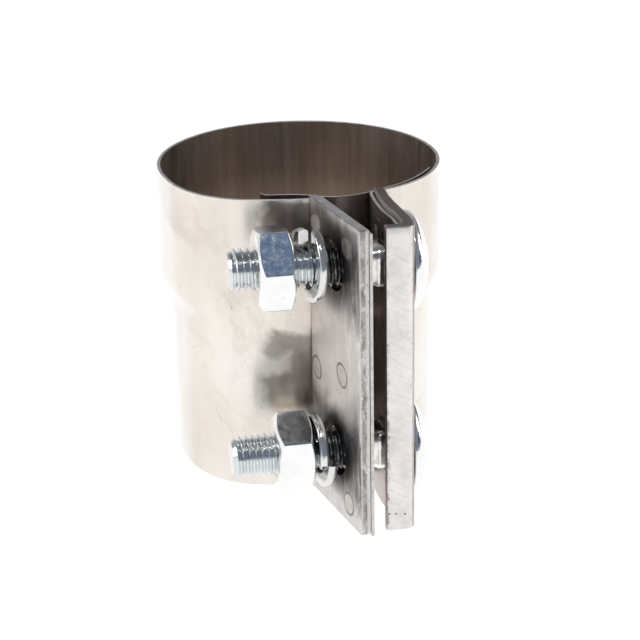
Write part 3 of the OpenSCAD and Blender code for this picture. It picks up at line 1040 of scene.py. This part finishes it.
weld_set("flat_bar_spot_weld_marks",
         [(21.4, 67.9, 3.0), (18.0, 36.4, 3.1), (3.3, 32.9, 2.9), (21.1, 5.6, 3.0),
          (3.6, 68.0, 2.9), (3.4, 5.6, 2.9)],
         on_flat_bar, "flat_bar_side", "flat_bar_spot_welds", FLAT_PLACE)
weld_set("angle_bar_spot_weld_marks",
         [(-35.0, 36.0, 2.8), (-50.5, 37.5, 2.8), (-35.0, 70.0, 2.6), (-51.0, 70.0, 2.6),
          (-35.0, 5.0, 2.6), (-51.0, 5.2, 2.6)],
         on_angle_bar, "fixed_side", "angle_bar_spot_welds")
weld_set("bridging_strip_spot_weld_marks",
         [(0.0, z, 2.0) for z in (7.0, 20.0, 33.0, 52.0, 66.0)],
         on_strip, "fixed_side", "seal_strip_spot_welds")


# ------------------------------------------------------------- hardware
PITCH = 1.5
CREST_RADIUS = 4.93
ROOT_RADIUS = 4.08
FLANK = 0.468               # axial length of one thread flank
HEAD_X = 16.35              # underside of the bolt heads
HEAD_RADIUS = 11.72
DOME_HEIGHT = 4.2
THREAD_END = 3.8            # x where the thread has run out
UPPER_NUT_X, UPPER_NUT_HEIGHT = -9.3, 8.2       # right face and height
LOWER_NUT_X, LOWER_NUT_HEIGHT = -5.7, 8.5
# Columns: distance left of the head, half width of the square neck.
NECK = [(10.0, 4.5), (7.7, 4.5), (6.9, 4.85), (6.2, 4.95), (4.9, 4.95), (3.2, 5.0), (0.9, 5.0),
        (0.1, 5.05)]
# Columns: distance right of the head's underside, radius of its rim.
HEAD_RIM = [(0, 7.6), (0, 11.2), (0.07, 11.55), (0.27, HEAD_RADIUS), (0.60, HEAD_RADIUS + 0.02),
            (0.90, HEAD_RADIUS - 0.06)]


def thread_radius(x, turn):
    """Radius of a right-hand 60 degree thread along +X."""
    phase = np.mod(x / PITCH - turn / (2 * math.pi), 1.0)
    from_crest = np.abs(phase - 0.5) * PITCH
    depth = np.clip((PITCH / 2 - from_crest - PITCH / 8) / FLANK, 0, 1)
    return ROOT_RADIUS + (CREST_RADIUS - ROOT_RADIUS) * depth


def turned(name, profile, turn, z, materials, closed, sharp):
    """Surface round a bolt's axis from (x, radius, material) rows.

    x and radius are numbers or one value per angle. Either the last row joins the first, or
    both ends are capped.
    """
    cols = len(turn)
    ones = np.ones(cols)
    x = np.array([row[0] * ones for row in profile])
    radius = np.array([row[1] * ones for row in profile])
    y_off = -np.cos(turn) * radius
    z_off = np.sin(turn) * radius
    verts = np.stack([x, BOLT_Y + y_off, z + z_off], -1).reshape(-1, 3).tolist()
    rows = len(profile)
    index = np.arange(rows * cols).reshape(rows, cols)
    faces = []
    face_materials = []
    for i in range(rows if closed else rows - 1):
        here, after = index[i], index[(i + 1) % rows]
        faces += np.stack([here, np.roll(here, -1), np.roll(after, -1), after], -1).tolist()
        face_materials += [profile[i][2]] * cols
    if not closed:
        for row in (0, rows - 1):
            centre = len(verts)
            verts.append([float(x[row].mean()), BOLT_Y, z])
            faces += [(index[row, k], index[row, (k + 1) % cols], centre) for k in range(cols)]
            face_materials += [0] * cols
    return make(name, verts, faces, materials, face_materials, sharp)


def carriage_bolt(name, tip, z, cad_piece, droop=0.0, pivot_x=0.0):
    """Threaded shank from the tip, square neck and domed head."""
    turn = np.linspace(0, 2 * math.pi, 96, endpoint=False)
    # dished end face
    profile = [(tip + 0.10 * (1 - radius / 3.3), radius, 0) for radius in (1.2, 2.4, 3.3)]
    for x in np.arange(tip, THREAD_END, PITCH / 12):
        chamfer = 3.72 + (x - tip) * 0.95
        runout = smooth_step((x - (THREAD_END - 1.6)) / 1.5)
        radius = np.minimum(thread_radius(x, turn), chamfer) * (1 - runout) + 4.46 * runout
        # past x = -3.2 the thread takes the dark material, painted shade under the washer and in
        # the slot
        profile.append((x, radius, 2 if x > -3.2 else 1))
    profile += [(THREAD_END + 0.2, 4.46, 0), (HEAD_X - 10.6, 4.5, 0), (HEAD_X - 10.3, 4.75, 0)]
    cosine, sine = np.abs(np.cos(turn)), np.abs(np.sin(turn))
    rounded_square = np.power(cosine**4 + sine**4, 1 / 4)
    profile += [(HEAD_X - back, half / rounded_square, 0) for back, half in NECK]
    profile += [(HEAD_X + out, radius, 0) for out, radius in HEAD_RIM]
    # the dome is part ellipse, part sphere
    sphere = (HEAD_RADIUS**2 + DOME_HEIGHT**2) / (2 * DOME_HEIGHT)
    for share in np.linspace(0.985, 0.0, 22)[:-1]:
        radius = HEAD_RADIUS * share
        ellipse = math.sqrt(max(0, 1 - (share * 0.985) ** 2))
        cap = (math.sqrt(sphere * sphere - radius * radius) - (sphere - DOME_HEIGHT)) / DOME_HEIGHT
        profile.append((HEAD_X + 0.97 + 4.22 * (0.45 * ellipse + 0.55 * cap), radius, 0))
    ob = turned(name, profile, -turn, z, [ZINC, THREAD, PAINTED_SHADE_THREAD], closed=False, sharp=38)
    if droop:
        # the head end hangs a little, pivoting in the nut
        pivot = Vector((pivot_x, BOLT_Y, z)) * MM
        ob.data.transform(Matrix.Translation(pivot)
                          @ Matrix.Rotation(math.radians(droop), 4, "Y")
                          @ Matrix.Translation(-pivot))
    attach(ob, "fixed_side", cad_piece)


HALF_FLATS = 17.5 / 2       # half the width across the flats
CORNER_ROUND = 0.38
COS_30 = math.cos(math.radians(30))
CORNER_CENTRE = (HALF_FLATS - CORNER_ROUND) / COS_30
CORNER_LIMIT = math.atan2(CORNER_ROUND * 0.5, CORNER_CENTRE + CORNER_ROUND * COS_30)
FACE_RADIUS = 8.05          # where the chamfer meets the nut's end face


def hex_radius(offset):
    """Radius at an angle (radians) from the nearest corner of the rounded hexagon."""
    offset = np.abs(offset)
    flat = HALF_FLATS / np.cos(math.radians(30) - offset)
    corner = CORNER_CENTRE * np.cos(offset) + np.sqrt(
        np.maximum(CORNER_ROUND**2 - (CORNER_CENTRE * np.sin(offset)) ** 2, 0))
    return np.where(offset < CORNER_LIMIT, corner, flat)


def hex_nut(name, right, height, z, corner_degrees, body, cad_piece, facet):
    """Nut with a rounded hexagon, chamfered faces and a cut thread."""
    left = right - height
    sixth = np.concatenate([-np.radians(np.array([30, 24, 18, 12, 7, 4])),
                            CORNER_LIMIT * np.array([-1, -0.5, 0, 0.5, 1]),
                            np.radians(np.array([4, 7, 12, 18, 24]))])
    turn = np.concatenate([sixth + math.radians(60 * k) for k in range(6)])
    turn = turn + math.radians(corner_degrees)
    hexagon = hex_radius(np.concatenate([sixth] * 6))
    profile = []
    # bore from left to right, its thread in phase with the bolt's
    for x in np.linspace(left + 0.02, right - 0.02, 60):
        thread = np.maximum(thread_radius(x, -turn) + 0.07, 4.24)
        countersink = max(5.35 - (x - left) * 1.15, 5.35 - (right - x) * 1.15, 0)
        profile.append((x, np.maximum(thread, countersink), 1))
    chamfer = np.maximum(hexagon - FACE_RADIUS, 0) * math.tan(math.radians(28))
    edge = FACE_RADIUS + 0.02
    # from a face's bore outwards: depth below the face, radius
    face = [(0, 5.42), (0, 6.6), (0, FACE_RADIUS - 0.12), (0.03, edge)]
    face += [(0.03 + chamfer * q, edge + (hexagon - edge) * q - (0.05 if q == 1 else 0))
             for q in (0.34, 0.67, 1.0)]
    face.append((0.12 + chamfer, hexagon))
    profile += [(right - depth, radius, 0) for depth, radius in face]
    profile += [(right - 0.12 - chamfer - (height - 0.24 - 2 * chamfer) * q, hexagon, 0)
                for q in (0.3, 0.5, 0.7)]
    profile += [(left + depth, radius, 0) for depth, radius in face[::-1]]
    ob = turned(name, profile, turn, z, [ZINC, THREAD, facet], closed=True, sharp=24)
    # painted reflection: the wrench flat that faces up and forward takes the reflection-coloured
    # facet material, which also carries nicks
    for face in ob.data.polygons:
        normal, centre = face.normal, face.center / MM
        on_flat = abs(normal.x) < 0.3 and math.hypot(centre.y - BOLT_Y, centre.z - z) > 7.5
        if on_flat and normal.z > 0.3 and normal.y < -0.3:
            face.material_index = 2
    attach(ob, body, cad_piece)


def lock_washer(name, x, z, split_degrees, gap_degrees, spring, lean, body, cad_piece):
    """Split washer: one turn of a rectangular strand, its ends sprung apart along X.

    spring is how far each end is pushed, lean the tilt about Z in degrees.
    """
    half = 2.3 / 2
    inner, outer = 5.35, 8.7
    bevel, corner = 0.40, 0.92
    quarter = np.radians([0, 18, 36, 54, 72, 90])
    left = [(-half + bevel * 0.35, inner), (-half, inner + bevel * 0.4), (-half, inner + bevel)]
    left += [(-half + corner - corner * math.cos(a), outer - corner + corner * math.sin(a))
             for a in quarter]
    section = left + [(-across, radius) for across, radius in left[::-1]]
    count, size = 120, len(section)
    angles = np.radians(np.linspace(split_degrees + gap_degrees / 2,
                                    split_degrees + 360 - gap_degrees / 2, count))
    shifts = spring * (np.linspace(0, 1, count) - 0.5) * 2
    verts = np.array([(shift + across, -radius * math.cos(a), radius * math.sin(a))
                      for a, shift in zip(angles, shifts) for across, radius in section])
    tilt = np.array(Matrix.Rotation(math.radians(lean), 3, "Z"))
    verts = verts @ tilt.T + np.array([x, BOLT_Y, z])
    faces = []
    for i in range(count - 1):
        for j in range(size):
            k = (j + 1) % size
            faces.append((i * size + j, i * size + k, (i + 1) * size + k, (i + 1) * size + j))
    faces.append(tuple(range(size)))
    faces.append(tuple((count - 1) * size + j for j in range(size))[::-1])
    ob = make(name, verts, faces, [SPRING_ZINC], sharp=40)
    attach(ob, body, cad_piece)
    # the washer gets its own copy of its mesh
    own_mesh(ob)


carriage_bolt("upper_carriage_bolt_threaded", -23.65, UPPER_Z, "upper_carriage_bolt",
              droop=1.5, pivot_x=UPPER_NUT_X - UPPER_NUT_HEIGHT / 2)
carriage_bolt("lower_carriage_bolt_threaded", -24.15, LOWER_Z, "lower_carriage_bolt")
hex_nut("upper_hex_nut_chamfered", UPPER_NUT_X, UPPER_NUT_HEIGHT, UPPER_Z, 9.0,
        "upper_nut_body", "upper_nut", BLUE_REFLECTION_FACET)
hex_nut("lower_hex_nut_chamfered", LOWER_NUT_X, LOWER_NUT_HEIGHT, LOWER_Z, 35.0,
        "lower_nut_body", "lower_nut", GREY_REFLECTION_FACET)
lock_washer("upper_split_lock_washer", -5.25, UPPER_Z, split_degrees=84, gap_degrees=5,
            spring=1.35, lean=9.5, body="upper_washer", cad_piece="upper_lock_washer")
lock_washer("lower_split_lock_washer", -3.7, LOWER_Z, split_degrees=-2.5, gap_degrees=2.5,
            spring=1.0, lean=6, body="lower_washer", cad_piece="lower_lock_washer")


# ------------------------------------------- studio and camera, in metres
def white_floor():
    """A bright, shadowless table."""
    half, z = 6.0, -0.0002
    mesh = bpy.data.meshes.new("studio_floor")
    mesh.from_pydata([(-half, -half, z), (half, -half, z), (half, half, z), (-half, half, z)],
                     [], [(0, 1, 2, 3)])
    floor = bpy.data.objects.new("studio_floor", mesh)
    scene.collection.objects.link(floor)
    s = Shader(bpy.data.materials.new("white_table"), surface="ShaderNodeEmission")
    s.feed(s.surface.inputs["Color"], (1, 1, 1))
    s.feed(s.surface.inputs["Strength"], 1.02)
    mesh.materials.append(s.owner)
    floor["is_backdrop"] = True


def surroundings():
    """Pale low down, darker overhead, on the camera side and low on the right."""
    scene.world = bpy.data.worlds.new("studio")
    s = Shader(scene.world, "ShaderNodeBackground", "ShaderNodeOutputWorld")
    x, y, z = s.axes("Generated")
    color = s.ramp(z, [(0.0, (0.95, 0.95, 0.95)), (0.10, (0.62, 0.62, 0.63)),
                       (0.40, (0.36, 0.36, 0.37)), (0.80, (0.17, 0.17, 0.18)),
                       (1.0, (0.14, 0.14, 0.15))])
    color = s.stain(color, y, to=(1, 0), over=(-0.95, -0.25), tint=(0.15, 0.19, 0.26))
    right = s.math("MULTIPLY", s.remap(x, to=(0, 1), over=(0.45, 0.75)),
                   s.window(z, rise=(0.04, 0.12), fall=(0.38, 0.52)))
    s.feed(s.surface.inputs["Color"], s.mix(right, color, (0.05, 0.055, 0.065)))
    s.feed(s.surface.inputs["Strength"], 1.0)


def soft_box(name, location, size, power):
    light = bpy.data.lights.new(name, "AREA")
    light.shape = "RECTANGLE"
    light.size, light.size_y = size
    light.energy = power
    ob = bpy.data.objects.new(name, light)
    ob.location = location
    aim = Vector((0, 0, 0.03))
    ob.rotation_euler = (aim - Vector(location)).to_track_quat("-Z", "Y").to_euler()
    scene.collection.objects.link(ob)
    ob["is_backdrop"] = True


def photo_camera():
    """Long lens in front of the clamp, a little to the left and above."""
    camera = bpy.data.cameras.new("photo_camera")
    ob = bpy.data.objects.new("photo_camera", camera)
    scene.collection.objects.link(ob)
    side = math.radians(-9.9)
    lift = math.radians(21.55)
    roll = math.radians(-1.085)
    target = Vector((0.0, -14.996, 36.4)) * MM
    distance = 475
    back = Vector((math.sin(side) * math.cos(lift), -math.cos(side) * math.cos(lift),
                   math.sin(lift)))
    level = Vector((math.cos(side), math.sin(side), 0))
    upright = back.cross(level)
    right = level * math.cos(roll) + upright * math.sin(roll)
    up = -level * math.sin(roll) + upright * math.cos(roll)
    matrix = Matrix((right, up, back)).transposed().to_4x4()
    matrix.translation = target + back * distance * MM
    ob.matrix_world = matrix
    camera.sensor_width = 36.0
    camera.lens = 110.925
    camera.shift_x, camera.shift_y = 0.0140625, 0.0025
    camera.clip_start, camera.clip_end = 0.01, 50
    scene.camera = ob


white_floor()
surroundings()
soft_box("soft_box_left", (-1.0, 0.1, 0.45), size=(0.5, 0.6), power=2.6)
soft_box("soft_box_right", (1.0, -0.1, 0.45), size=(0.5, 0.6), power=2.6)
soft_box("soft_box_top", (-0.15, -0.42, 1.0), size=(0.22, 0.10), power=1.6)
photo_camera()

{"after_load": bounds_cad, "before_finish": as_list(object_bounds())}
